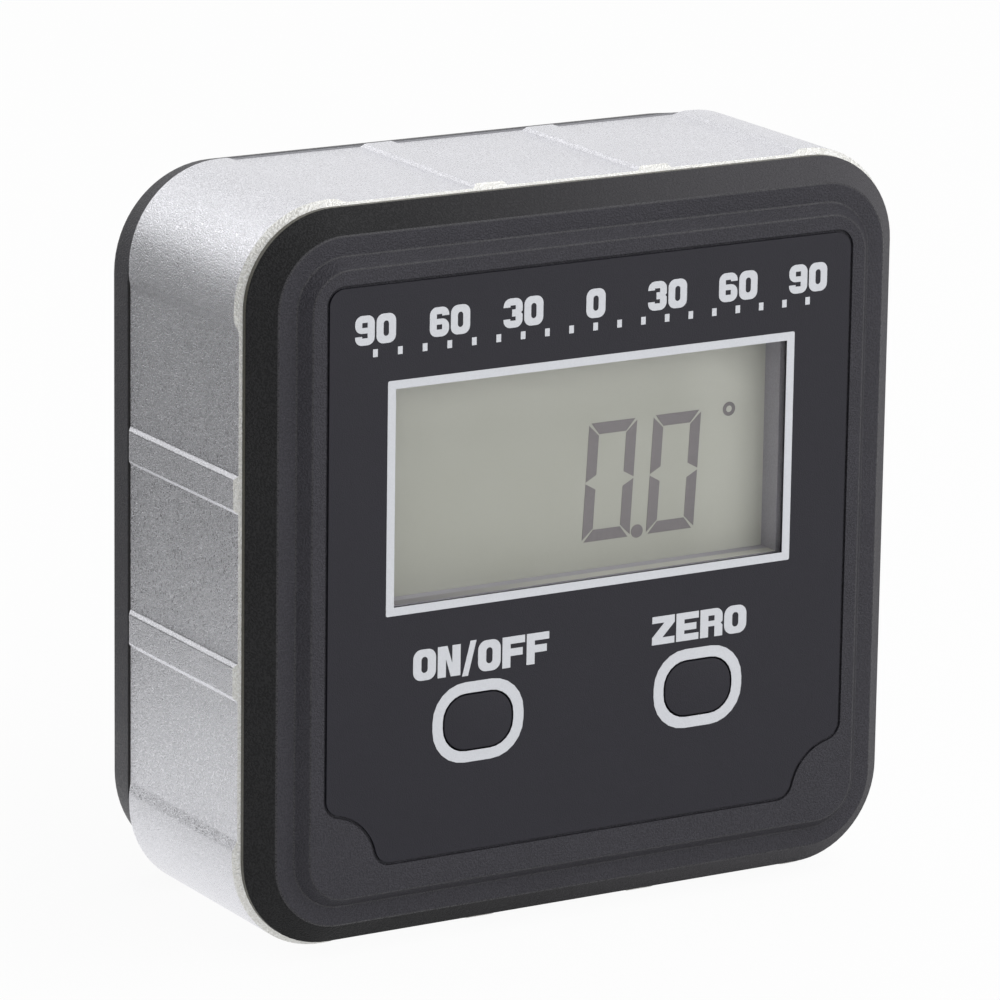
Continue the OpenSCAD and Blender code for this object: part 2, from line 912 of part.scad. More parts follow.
module left_magnet() { magnet(-1); }
module middle_magnet() { magnet(0); }
module right_magnet() { magnet(1); }

frame();
front_bezel();
face_film();
display_window();
display_holder();
display_glass();
contact_strip();
foam_strip();
circuit_board();
board_screws();
processor();
tilt_sensor();
timing_crystal();
on_off_key();
zero_key();
on_off_plunger();
zero_plunger();
on_off_switch();
zero_switch();
back_cover();
battery_door();
cover_screws();
upper_cell();
lower_cell();
link_contact();
positive_contact();
negative_contact();
upper_spring();
lower_spring();
left_magnet();
middle_magnet();
right_magnet();
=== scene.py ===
# %% [markdown]
# # A box-shaped angle gauge, dressed for the studio
# The solid model already has every piece in its place. This lesson gives those pieces finishes,
# broken edges, white print and a figure on the display, and sets up light and camera. Shapes are
# worked on in millimetres and turned into metres when a piece is finished, because Blender's
# bevel is at its best on numbers of that size.

# %% Load the solid model
import math

import bmesh
import bpy
from mathutils import Matrix, Vector


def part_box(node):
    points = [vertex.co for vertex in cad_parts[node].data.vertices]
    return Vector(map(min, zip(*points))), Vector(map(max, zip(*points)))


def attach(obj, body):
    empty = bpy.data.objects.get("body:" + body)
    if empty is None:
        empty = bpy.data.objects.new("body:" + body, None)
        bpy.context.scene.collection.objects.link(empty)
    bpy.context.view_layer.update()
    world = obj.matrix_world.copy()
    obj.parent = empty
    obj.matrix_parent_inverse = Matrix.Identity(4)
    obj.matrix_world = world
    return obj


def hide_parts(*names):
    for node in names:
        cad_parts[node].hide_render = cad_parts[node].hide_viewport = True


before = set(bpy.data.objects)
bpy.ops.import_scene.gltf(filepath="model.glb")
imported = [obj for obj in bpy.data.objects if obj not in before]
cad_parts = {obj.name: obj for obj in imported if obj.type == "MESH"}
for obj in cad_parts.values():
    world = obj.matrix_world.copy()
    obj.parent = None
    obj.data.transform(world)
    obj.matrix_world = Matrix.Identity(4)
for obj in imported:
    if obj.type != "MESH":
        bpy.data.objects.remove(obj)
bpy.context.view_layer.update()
MM = 0.001
scene = bpy.context.scene


def span(node):
    """Lowest and highest corner of a solid, in millimetres."""
    low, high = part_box(node)
    return low / MM, high / MM


FRAME_LOW, FRAME_HIGH = span("frame")
FRAME_FRONT_Y, FRAME_BACK_Y = FRAME_LOW.y, FRAME_HIGH.y
MIDDLE_Z = (FRAME_LOW.z + FRAME_HIGH.z) / 2
FACE_Y = span("face_film")[0].y
print("solids:", len(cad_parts), "face plane at y =", round(FACE_Y, 3), "mm")

# %% [markdown]
# ## Camera
# The picture was taken from the left and a little above with a long lens, so upright edges
# hardly converge. A camera can be moved by eye until the edges agree, but that takes long. Here
# its numbers come from fitting a pinhole camera to the gauge's straight edges: two angles, a
# slight roll, the distance, and the point it looks at.

# %% Place the camera
LENS_PX, PICTURE_PX, SENSOR_MM = 6592.25, 1000, 36
AZIMUTH, ELEVATION, ROLL = (math.radians(angle) for angle in (-30.717, 14.595, 0.811))
DISTANCE_MM, ASIDE_MM, ABOVE_MM = 522.836, -5.547, 3.586

back = Vector((math.sin(AZIMUTH) * math.cos(ELEVATION), -math.cos(AZIMUTH) * math.cos(ELEVATION),
               math.sin(ELEVATION)))
right = Vector((0, 0, 1)).cross(back).normalized()
up = back.cross(right)
target = Vector((0, FRAME_FRONT_Y, MIDDLE_Z + ABOVE_MM)) + ASIDE_MM * right
picture_right = right * math.cos(ROLL) + up * math.sin(ROLL)
picture_up = up * math.cos(ROLL) - right * math.sin(ROLL)

camera = bpy.data.objects.new("camera", bpy.data.cameras.new("camera"))
scene.collection.objects.link(camera)
camera.data.sensor_width = SENSOR_MM
camera.data.lens = LENS_PX / PICTURE_PX * SENSOR_MM
camera.data.clip_start, camera.data.clip_end = 0.01, 20
turn = Matrix((picture_right, picture_up, back)).transposed().to_4x4()
camera.matrix_world = Matrix.Translation((target + DISTANCE_MM * back) * MM) @ turn
scene.camera = camera
scene.view_settings.view_transform = "Standard"
print("lens", round(camera.data.lens, 1), "mm, camera at", [round(v, 3) for v in camera.location])

# %% [markdown]
# ## Writing materials as sums
# A finish is a small graph of nodes, which could be wired by hand in the shader editor. In a
# script two classes keep it readable: `Finish` owns a material and has one method that adds any
# node, and `Flow` wraps a socket, so `1 - mask * 0.3` written in Python adds the Math nodes by
# itself.


# %% Sockets that take part in sums
class Flow:
    """A node's output that takes part in Python arithmetic."""

    def __init__(self, finish, socket):
        self.finish = finish
        self.socket = socket

    def calc(self, operation, *values):
        return self.finish.node("ShaderNodeMath", {"operation": operation}, dict(enumerate(values)))

    def __add__(self, other):
        return self.calc("ADD", self, other)

    def __sub__(self, other):
        return self.calc("SUBTRACT", self, other)

    def __rsub__(self, other):
        return self.calc("SUBTRACT", other, self)

    def __mul__(self, other):
        return self.calc("MULTIPLY", self, other)

    def __gt__(self, other):
        return self.calc("GREATER_THAN", self, other)

    __radd__ = __add__
    __rmul__ = __mul__


# %% Materials under construction
class Finish:
    """A material, or the world, under construction."""

    def __init__(self, name, owner=None):
        self.owner = owner or bpy.data.materials.new(name)
        self.owner.use_nodes = True
        self.tree = self.owner.node_tree
        self.tree.nodes.clear()

    def node(self, kind, settings=None, values=None, out=0):
        """Adds any node: its settings first, then the values or links of its sockets."""
        made = self.tree.nodes.new(kind)
        for key, value in (settings or {}).items():
            setattr(made, key, value)
        for key, value in (values or {}).items():
            if isinstance(value, Flow):
                self.tree.links.new(value.socket, made.inputs[key])
            else:
                made.inputs[key].default_value = value
        return Flow(self, made.outputs[out]) if made.outputs else made

    def place(self):
        return self.node("ShaderNodeTexCoord", out="Object")

    def vector(self, operation, *values, out="Vector"):
        return self.node("ShaderNodeVectorMath", {"operation": operation}, dict(enumerate(values)),
                         out=out)

    def rays(self):
        """Masks of the rays from the camera, from mirrors, and through clear things."""
        return [self.node("ShaderNodeLightPath", out=f"Is {kind} Ray")
                for kind in ("Camera", "Glossy", "Transmission")]

    def ease(self, value, start, end, low=0.0, high=1.0):
        """Goes softly from low to high while the value goes from start to end."""
        return self.node("ShaderNodeMapRange", {"interpolation_type": "SMOOTHSTEP"},
                         {"Value": value, "From Min": start, "From Max": end,
                          "To Min": low, "To Max": high})

    def rising(self, axis, start_mm, end_mm):
        """Grows from 0 to 1 along an axis, between two places on it."""
        along = self.node("ShaderNodeSeparateXYZ", {}, {0: self.place()}, out=axis)
        return self.ease(along, start_mm * MM, end_mm * MM)

    def noise(self, size_mm, detail):
        """Noise whose lumps are about size_mm across, from 0 to 1."""
        return self.node("ShaderNodeTexNoise", {},
                         {"Vector": self.place(), "Scale": 1 / (size_mm * MM), "Detail": detail})

    def specks(self, size_mm):
        """Noise with hard contrast: grains that are either dark or light."""
        return self.ease(self.noise(size_mm, 1.0), 0.34, 0.66)

    def blend(self, factor, first, second):
        """A colour between two colours."""
        return self.node("ShaderNodeMix", {"data_type": "RGBA"},
                         {0: factor, 6: first, 7: second}, out=2)

    def relief(self, height, depth_mm, strength):
        return self.node("ShaderNodeBump", {},
                         {"Height": height, "Distance": depth_mm * MM, "Strength": strength})

    def close(self, shader):
        kind = "World" if isinstance(self.owner, bpy.types.World) else "Material"
        self.node("ShaderNodeOutput" + kind, {}, {"Surface": shader})
        return self.owner

    def skin(self, **sockets):
        """Ends in a Principled shader. An underscore in a socket's name stands for a space."""
        values = {key.replace("_", " "): value for key, value in sockets.items()}
        return self.close(self.node("ShaderNodeBsdfPrincipled", {}, values))


# %% Colours
WHITE, NO_LIGHT = (1, 1, 1, 1), (0, 0, 0, 1)


def shade(r, g, b):
    """The linear colour of a colour picked off a screen, 0 to 255."""
    return tuple(((c / 255 + 0.055) / 1.055) ** 2.4 for c in (r, g, b)) + (1.0,)


def darker(colour, share):
    return tuple(c * share for c in colour[:3]) + (1.0,)


print("middle grey:", [round(c, 3) for c in shade(128, 128, 128)])

# %% [markdown]
# ## Stage
# The gauge stands on a plain white sheet in a white studio. A sheet that is only lit never comes
# out evenly white, so the camera sees it glow, mixed with a little of the lit surface, which
# keeps the shadow. Mirrored rays see another sheet and another room, with light and dark parts,
# because satin metal shows its form only where what it mirrors changes.

# %% Floor
FLOOR_SIZE, FLOOR_Z = 4, -0.05 * MM
CAMERA_GLOW = 0.94
MIRRORED_LEAST = 0.11
POOL_AT = (-0.040, 0.025, 0)
STREAK_FROM, STREAK_ALONG = (-0.030, -0.012, 0), (-0.86, -0.51, 0)

paper = Finish("white_sheet")
seen, mirrored, through = paper.rays()
at = paper.place()
across = paper.node("ShaderNodeSeparateXYZ", {}, {0: at}, out="X")
aside = paper.vector("DISTANCE", at, POOL_AT, out="Value")
heading = paper.vector("NORMALIZE", paper.vector("SUBTRACT", at, STREAK_FROM))
in_line = paper.vector("DOT_PRODUCT", heading, STREAK_ALONG, out="Value")
right_half = paper.ease(across, 0.0, -0.08, 0.38, 0.0)
pool = paper.ease(aside, 0.02, 0.055, 0.85, 0.0)
far_off = paper.ease(aside, 0.22, 0.08, 0.2, 0.0)
streak = paper.ease(in_line, 0.99, 0.95, 0.75, 0.0)
bounced = paper.blend(MIRRORED_LEAST + right_half + pool + far_off + streak, NO_LIGHT, WHITE)
glow = paper.node("ShaderNodeEmission", {},
                  {"Color": paper.blend(mirrored, WHITE, bounced), "Strength": 1.0})
lit = paper.node("ShaderNodeBsdfDiffuse", {}, {"Color": (0.82, 0.82, 0.82, 1)})
share = (seen + through) * CAMERA_GLOW + mirrored
paper.close(paper.node("ShaderNodeMixShader", {}, {0: share, 1: lit, 2: glow}))

bpy.ops.mesh.primitive_plane_add(size=FLOOR_SIZE, location=(0, 0, FLOOR_Z))
floor = bpy.context.object
floor.name = "white_sheet"
floor.data.materials.append(paper.owner)
print("sheet:", FLOOR_SIZE, "m wide")

# %% World
DARK_ROOM = 0.15

scene.world = bpy.data.worlds.new("studio")
room = Finish("studio", scene.world)
seen, mirrored, through = room.rays()
ray = room.node("ShaderNodeTexCoord", out="Generated")


def brightening(towards, start, full, low, high):
    """Brightness of the room, which grows from one side of it to the other."""
    return room.ease(room.vector("DOT_PRODUCT", ray, towards, out="Value"), start, full, low, high)


back_wall = (brightening((0, 1, 0), -0.1, 0.6, 0.0, 0.9)
             * brightening((0.5, 0, 0.87), -0.3, 0.2, 0.0, 1.0)
             * brightening((-0.8, 0, 0.6), -0.35, 0.3, 0.84, 1.0))
left_card = brightening((-0.40, -0.62, 0.67), 0.90, 0.985, 0.0, 0.85)
front_fill = brightening((0.66, -0.61, 0.43), -0.5, 0.6, 0.15, 0.93)
level = (seen + through + mirrored * (DARK_ROOM + back_wall + left_card)
         + (1 - seen - through - mirrored) * front_fill)
room.close(room.node("ShaderNodeBackground", {}, {"Color": WHITE, "Strength": level}))
print("room:", len(room.tree.nodes), "nodes")

# %% Lamps
LAMP_AIM = Vector((0, 0, 0.03))


def lamp(name, place, size, brightness):
    """A square soft lamp whose face is this bright, where 1 is a white wall."""
    data = bpy.data.lights.new(name, "AREA")
    data.shape, data.size, data.energy = "SQUARE", size, brightness * math.pi * size * size
    made = bpy.data.objects.new(name, data)
    scene.collection.objects.link(made)
    aimed = (LAMP_AIM - Vector(place)).to_track_quat("-Z", "Y").to_matrix().to_4x4()
    made.matrix_world = Matrix.Translation(place) @ aimed
    print(name, round(data.energy, 2), "W")


lamp("overhead_softbox", (0.38, -0.12, 0.72), 0.3, 3.0)
lamp("front_softbox", (0.41, -0.70, 0.46), 1.0, 1.25)
lamp("back_softbox", (-0.45, 0.75, 0.50), 0.6, 0.8)

# %% [markdown]
# ## Finishes
# The frame is bead-blasted and anodised: dull, with a sparkle of tiny facets. Its ends are cut
# after that, so they shine. The mouldings carry a spark-eroded grain, which only shows where light
# grazes it. Pictures of such surfaces could be wrapped round the pieces, but noise in object
# coordinates needs no unwrapping. Each finish is noise at the size of the real grain, fed to
# colour, roughness and relief.

# %% Metals
BLUISH = 1.05


def satin_aluminium(name, dark, light, relief_mm):
    """Bead-blasted metal between two slightly bluish greys."""
    f = Finish(name)
    beads = f.specks(0.12)
    tone = beads * 0.6 + f.noise(9.0, 2.0) * 0.4
    colour = f.blend(tone, (dark, dark, dark * BLUISH, 1), (light, light, light * BLUISH, 1))
    return f.skin(Base_Color=colour, Metallic=1.0, Roughness=0.24 + beads * 0.12,
                  Normal=f.relief(beads, relief_mm, 0.8))


def cut_aluminium():
    """The torn, bright surface that a saw leaves."""
    f = Finish("cut_aluminium")
    marks = f.specks(0.2)
    colour = f.blend(marks, (0.82, 0.81, 0.77, 1), (0.98, 0.98, 0.96, 1))
    return f.skin(Base_Color=colour, Metallic=0.5, Roughness=0.32 + marks * 0.2,
                  Normal=f.relief(marks, 0.06, 0.8))


def plated(name, colour, roughness):
    """Nickel plate with a slight haze."""
    f = Finish(name)
    haze = f.noise(0.5, 3.0)
    return f.skin(Base_Color=f.blend(haze, darker(colour, 0.82), colour), Metallic=1.0,
                  Roughness=roughness + haze * 0.12)


SATIN = satin_aluminium("satin_metal", 0.69, 0.88, 0.04)
# Lighter and darker copies of the same metal: painted light and painted shade for the ridges'
# ramps.
LIT_RAMP = satin_aluminium("ramp_painted_light", 0.82, 0.95, 0.02)
SHADED_RAMP = satin_aluminium("ramp_painted_shade", 0.42, 0.55, 0.02)
CUT = cut_aluminium()
NICKEL = plated("nickel_plate", (0.76, 0.75, 0.71, 1), 0.2)
MAGNET = plated("magnet_nickel", (0.80, 0.79, 0.77, 1), 0.12)
print("metals:", [metal.name for metal in (SATIN, LIT_RAMP, SHADED_RAMP, CUT, NICKEL, MAGNET)])

# %% Mouldings, film and print
LEFT_MM, RIGHT_MM = -26.0, 29.0


def moulded(name, colour, grain, relief, rough, mottle=0.25, gloss=0.35, painted_light_right=None):
    """Plastic with a grain and a relief in millimetres, mottled with a darker tone of its colour.

    Towards the right side it may turn into a lighter colour: painted light on the lit side."""
    f = Finish(name)
    grains = f.specks(grain)
    tone = grains * 0.6 + f.noise(grain * 40, 2.0) * 0.4
    base = f.blend(tone, darker(colour, 1 - mottle), colour)
    if painted_light_right:
        base = f.blend(f.rising("X", LEFT_MM, RIGHT_MM), base, painted_light_right)
    return f.skin(Base_Color=base, Roughness=rough + grains * 0.15, Specular_IOR_Level=gloss,
                  Normal=f.relief(grains, relief, 0.6))


BLACK = moulded("grained_black", shade(65, 64, 70), grain=0.15, relief=0.07, rough=0.38,
                mottle=0.4, gloss=0.2)
# The outer slope: a darker copy of the black as painted shade, lighter to the right as painted
# light.
SHADED_SLOPE = moulded("slope_painted_shade_and_light", shade(55, 55, 56), grain=0.15, relief=0.09, rough=0.38,
                mottle=0.5, gloss=0.03, painted_light_right=shade(78, 77, 80))
RUBBED = moulded("rubbed_edge", shade(66, 65, 69), grain=0.13, relief=0.03, rough=0.24, mottle=0.5)
# The lip's olive grey is a painted reflection of the metal beside it.
LIP_REFLECTION = moulded("lip_painted_reflection", shade(92, 90, 80), grain=0.13, relief=0.02, rough=0.30, mottle=0.3)
FILM = moulded("film_black", shade(41, 40, 48), grain=0.11, relief=0.01, rough=0.45, mottle=0.2)
KEY = moulded("key_cap_black", shade(41, 40, 48), grain=0.11, relief=0.01, rough=0.42, mottle=0.2)
INK = moulded("white_ink", shade(202, 204, 209), grain=0.12, relief=0.004, rough=0.45, mottle=0.06)
HOLDER = moulded("holder_grey", shade(170, 168, 175), grain=0.2, relief=0.01, rough=0.5,
                 mottle=0.15)
CHIP = moulded("chip_epoxy", shade(44, 44, 46), grain=0.08, relief=0.006, rough=0.5)
BOARD = moulded("board_green", shade(26, 92, 56), grain=0.5, relief=0.01, rough=0.3)
RUBBER = moulded("rubber_pink", shade(190, 150, 160), grain=0.4, relief=0.01, rough=0.7)
FOAM = moulded("foam_black", shade(58, 58, 58), grain=0.3, relief=0.08, rough=0.9)
PLUNGER = moulded("plunger_plastic", shade(160, 50, 42), grain=0.2, relief=0.01, rough=0.45)
print("finishes so far:", len(bpy.data.materials))

# %% [markdown]
# ## Display finishes
# A display without a lamp is a grey-green mirror under frosted glass: dull and slightly uneven.
# It is a touch lighter towards its top and right edges: painted light against the shade of the
# window's walls. The clear pane in front could be a refracting slab, but that would throw a black
# shadow on the display. So it is a mirror that is see-through but for its Fresnel share. The sill
# under the display has painted shade, darker on the left.


# %% Display finishes
def display_grey():
    f = Finish("display_face")
    grain = f.noise(0.12, 1.0)
    tone = f.noise(7.0, 1.0) * 0.8 + grain * 0.2
    colour = f.blend(tone, shade(158, 159, 149), shade(167, 168, 160))
    # Painted light: lighter towards the right and top edges, against the shade of the window's
    # walls.
    painted_lift = f.rising("X", 9.0, 18.5) + f.rising("Z", MIDDLE_Z + 9.5, MIDDLE_Z + 16.0)
    return f.skin(Base_Color=f.blend(painted_lift, colour, shade(187, 188, 179)),
                  Roughness=0.5 + grain * 0.1)


def clear_pane():
    f = Finish("window_pane")
    edge = f.node("ShaderNodeFresnel", {}, {"IOR": 1.3})
    inside = f.node("ShaderNodeNewGeometry", out="Backfacing")
    return f.skin(Base_Color=WHITE, Metallic=1.0, Roughness=0.03, Alpha=edge * (1 - inside))


def fading_plastic(name, axis, start_mm, end_mm, first, second):
    """Plain plastic that goes from one colour to another along an axis."""
    f = Finish(name)
    colour = f.blend(f.rising(axis, start_mm, end_mm), first, second)
    return f.skin(Base_Color=colour, Roughness=0.5)


DISPLAY = display_grey()
PANE = clear_pane()
# The sill's colour is painted shade, darker towards the left.
SHADED_SILL = fading_plastic("window_sill_painted_shade", "X", -18.0, 4.0, shade(134, 132, 134), shade(184, 184, 176))
FIGURE = moulded("display_figure", shade(122, 118, 120), grain=0.3, relief=0.0, rough=0.5,
                 mottle=0.12)
print("display:", [part.name for part in (DISPLAY, PANE, SHADED_SILL, FIGURE)])

# %% [markdown]
# ## From solids to pieces
# A solid arrives as loose triangles with knife-sharp edges. A copy is merged. Where its edges are
# to be broken, its coplanar triangles are first joined into whole faces, since a bevel needs clean
# edges. No real edge is sharp, and the thin highlight along a small bevel is what the eye reads
# as an edge. A bevel modifier could do this too, but bmesh lets the script choose the edges. Faces
# weigh on the shading by their area, so flat faces stay flat.


# %% Copies of solids
def merged(node, whole):
    """A solid's mesh, in millimetres, with its triangles joined into whole faces if wanted."""
    work = bmesh.new()
    work.from_mesh(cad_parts[node].data)
    bmesh.ops.scale(work, vec=(1 / MM,) * 3, verts=work.verts)
    bmesh.ops.remove_doubles(work, verts=work.verts, dist=0.002)
    bmesh.ops.dissolve_degenerate(work, dist=0.0005, edges=work.edges)
    if whole:
        bmesh.ops.dissolve_limit(work, angle_limit=math.radians(0.6), verts=work.verts,
                                 edges=work.edges)
    for face in work.faces:
        face.material_index = 0
    return work


def to_mesh(work, name):
    """A mesh from the work so far, without the normals that the solid model came with."""
    mesh = bpy.data.meshes.new(name)
    work.normal_update()
    work.to_mesh(mesh)
    work.free()
    if "custom_normal" in mesh.attributes:
        mesh.attributes.remove(mesh.attributes["custom_normal"])
    return mesh


def evaluated(obj):
    """What an object's modifiers make of it, as a plain mesh. The object itself is removed."""
    graph = bpy.context.evaluated_depsgraph_get()
    graph.update()
    mesh = bpy.data.meshes.new_from_object(obj.evaluated_get(graph), depsgraph=graph)
    bpy.data.objects.remove(obj)
    return mesh


# %% Shading, edges and finished pieces
SHARP_DEG = 40


def evened(mesh):
    """Smooth shading in which large faces stay flat."""
    mesh.shade_smooth()
    mesh.set_sharp_from_angle(angle=math.radians(SHARP_DEG))
    work = bpy.data.objects.new("work", mesh)
    scene.collection.objects.link(work)
    weigh = work.modifiers.new("shading", "WEIGHTED_NORMAL")
    weigh.keep_sharp = True
    return evaluated(work)


def as_built(node):
    """A solid's mesh with the edges that the solid model gave it."""
    return evened(to_mesh(merged(node, whole=False), node))


def bevelled(node, width, sharper):
    """A solid's mesh with a bevel on each edge that turns by more than so many degrees."""
    work = merged(node, whole=True)
    edges = [edge for edge in work.edges if len(edge.link_faces) == 2
             and edge.calc_face_angle(0) > math.radians(sharper)]
    bmesh.ops.bevel(work, geom=edges, offset=width, offset_type="OFFSET", segments=2, profile=0.5,
                    affect="EDGES", clamp_overlap=False, material=-1)
    return evened(to_mesh(work, node))


def painted(mesh, finishes, choose):
    """Gives each face the finish that choose() picks by the face's centre and normal."""
    for face in mesh.polygons:
        face.material_index = finishes.index(choose(face.center, face.normal))
    return mesh


def piece(name, mesh, materials, body, slot, *stands_for):
    """Turns a mesh in millimetres into a finished piece of the gauge."""
    mesh.transform(Matrix.Scale(MM, 4))
    for material in materials:
        if material.name not in mesh.materials:
            mesh.materials.append(material)
    made = bpy.data.objects.new(name, mesh)
    scene.collection.objects.link(made)
    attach(made, body)
    if stands_for:
        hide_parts(*stands_for)
    print(name, len(mesh.polygons), "faces")


# %% [markdown]
# ## Frame
# A length of extruded square tube with two ridges on each side. The solid model already has its
# roundings, so its mesh is only merged and evened. Masks could be painted for the finishes, but a
# rule on each face's place and direction follows the form exactly: bright cut ends, and on the
# two sides ridges whose ramps get a lighter copy of the metal as painted light where they face
# down and a darker copy as painted shade where they face up.

# %% Frame
CUT_MM = 0.9
RIDGES_MM = 12
METALS = [SATIN, CUT, LIT_RAMP, SHADED_RAMP]


def frame_finish(centre, normal):
    from_end = min(centre.y - FRAME_FRONT_Y, FRAME_BACK_Y - centre.y)
    if from_end < CUT_MM and abs(normal.y) > 0.25:
        return CUT
    # Ridge ramps: painted light where they face down, painted shade where they face up.
    if abs(centre.z - MIDDLE_Z) < RIDGES_MM and 0.1 < abs(normal.z) < 0.995:
        return LIT_RAMP if normal.z < 0 else SHADED_RAMP
    return SATIN


piece("frame_body", painted(as_built("frame"), METALS, frame_finish), METALS,
      "housing", "satin_aluminium", "frame")

# %% [markdown]
# ## Bezel, film and keys
# The bezel is one moulding: a lip beside the frame, a slope, a ledge, a second slope and the flat
# round the film. Its small radii are in the solid model, and a rule picks the finishes once more.
# The roundings are rubbed smoother and catch the light as thin lines. The lip's olive grey is a
# painted reflection of the metal beside it. The outer slope is a darker copy of the black, painted
# shade, and it grows lighter to the right as painted light. The window's walls are faced in grey,
# and painted shade darkens their sill towards the left. The film is die-cut, so its edges stay
# sharp. Only the keys get a bevel.

# %% Bezel
PANE_LOW, PANE_HIGH = span("display_window")
AROUND_MM, BEHIND_MM = 0.2, 0.3
LIP_MM, SLOPE_MM = 0.6, 2.1
STEEPEST, STEEP, FLAT = 0.05, 0.77, 0.985
PLASTICS = [BLACK, HOLDER, RUBBED, LIP_REFLECTION, SHADED_SILL, SHADED_SLOPE]


def bezel_finish(centre, normal):
    in_window = (PANE_LOW.x - AROUND_MM < centre.x < PANE_HIGH.x + AROUND_MM
                 and PANE_LOW.z - AROUND_MM < centre.z < PANE_HIGH.z + AROUND_MM)
    if in_window and centre.y > FACE_Y + BEHIND_MM:
        # The sill gets painted shade, darker towards the left.
        return SHADED_SILL if normal.z > 0.5 else HOLDER
    if centre.y < FRAME_FRONT_Y and STEEP < -normal.y < FLAT:
        return RUBBED
    # The lip gets a painted reflection of the metal.
    if FRAME_FRONT_Y - LIP_MM < centre.y < FRAME_FRONT_Y and abs(normal.y) < 0.2:
        return LIP_REFLECTION
    # The outer slope gets painted shade, with painted light towards the right.
    if FRAME_FRONT_Y - SLOPE_MM < centre.y < FRAME_FRONT_Y and STEEPEST < -normal.y < STEEP:
        return SHADED_SLOPE
    return BLACK


piece("bezel", painted(as_built("front_bezel"), PLASTICS, bezel_finish), PLASTICS,
      "housing", "black_plastic", "front_bezel")

# %% Film and keys
film = to_mesh(merged("face_film", whole=False), "film")
piece("film", film, [FILM], "housing", "printed_film", "face_film")

for node, body in (("on_off_key", "on_off_button"), ("zero_key", "zero_button")):
    piece(node + "_cap", bevelled(node, 0.05, 30), [KEY], body, "key_black", node)

# %% [markdown]
# ## Print
# White ink stands a hair's breadth proud of the film. Frames and rings are two outlines, one inside
# the other, in a filled flat curve. A font could be used for the lettering, but then its shapes
# would be someone else's. So the two functions and the figures of the scale are drawn from heavy,
# narrow strokes in the same way, one outline after another.

# %% Outlines
ARC_STEPS = 6


def rounded(points):
    """A closed outline. A point's third number, where it has one, is the radius of its corner."""
    outline = []
    for i, point in enumerate(points):
        here = Vector(point[:2])
        r = point[2] if len(point) > 2 else 0
        if not r:
            outline.append(here)
            continue
        before = (Vector(points[i - 1][:2]) - here).normalized()
        after = (Vector(points[(i + 1) % len(points)][:2]) - here).normalized()
        half = before.angle(after) / 2
        centre = here + (before + after).normalized() * (r / math.sin(half))
        start = here + before * (r / math.tan(half)) - centre
        end = here + after * (r / math.tan(half)) - centre
        sweep = start.angle_signed(end)
        for k in range(ARC_STEPS + 1):
            outline.append(centre + Matrix.Rotation(-sweep * k / ARC_STEPS, 2) @ start)
    return outline


def box_outline(w, h, r, x, y):
    """A rectangle with rounded corners about the point x, y."""
    return [(x - w / 2, y - h / 2, r), (x + w / 2, y - h / 2, r),
            (x + w / 2, y + h / 2, r), (x - w / 2, y + h / 2, r)]


def flat_print(name, outlines, thick):
    """A thin plate whose shape is given by nested outlines, in the plane of the face."""
    curve = bpy.data.curves.new(name, "CURVE")
    curve.dimensions, curve.fill_mode, curve.extrude = "2D", "BOTH", thick / 2
    for outline in outlines:
        points = rounded(outline)
        spline = curve.splines.new("POLY")
        spline.points.add(len(points) - 1)
        for point, (x, y) in zip(spline.points, points):
            point.co = (x, y, 0, 1)
        spline.use_cyclic_u = True
    work = bpy.data.objects.new(name, curve)
    scene.collection.objects.link(work)
    return evaluated(work)


def on_plane(mesh, y):
    """Stands a flat print up on a plane that faces the viewer."""
    upright = Matrix.Rotation(math.pi / 2, 4, "X")
    mesh.transform(Matrix.Translation((0, y, MIDDLE_Z)) @ upright)
    return mesh


